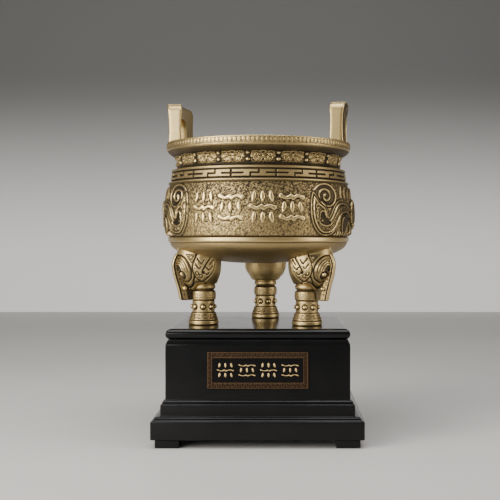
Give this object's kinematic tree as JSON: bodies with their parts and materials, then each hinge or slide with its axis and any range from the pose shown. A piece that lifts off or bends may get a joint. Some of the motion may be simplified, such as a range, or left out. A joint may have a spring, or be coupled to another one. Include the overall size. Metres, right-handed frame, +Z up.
{
  "type": "ding tripod ornament",
  "caption": "Round-bellied tripod bowl with two upright loop ears and beast-head legs, standing on a stepped square plinth with a small name plaque.",
  "frame": {"origin": "centre of the plinth's outline on the plane its foot blocks stand on", "axes": "+Z up; the plinth's front with the plaque and the bowl's front with the raised strokes face -Y; the loop ears stand left and right, towards -X and +X"},
  "size_m": [0.187, 0.178, 0.3101],
  "materials": {
    "antique_brass": "antique brass: polished on what stands out, dark brown in the recesses",
    "black_lacquer": "black gloss lacquer on wood",
    "plaque_metal": "thin plate, copper-brown border, dark field, gold raised strokes"
  },
  "bodies": {
    "root": {"ding_vessel": "antique_brass", "plinth": "black_lacquer", "plinth_foot_front_left": "black_lacquer", "plinth_foot_front_right": "black_lacquer", "plinth_foot_back_left": "black_lacquer", "plinth_foot_back_right": "black_lacquer", "name_plaque": "plaque_metal"}
  },
  "joints": []
}
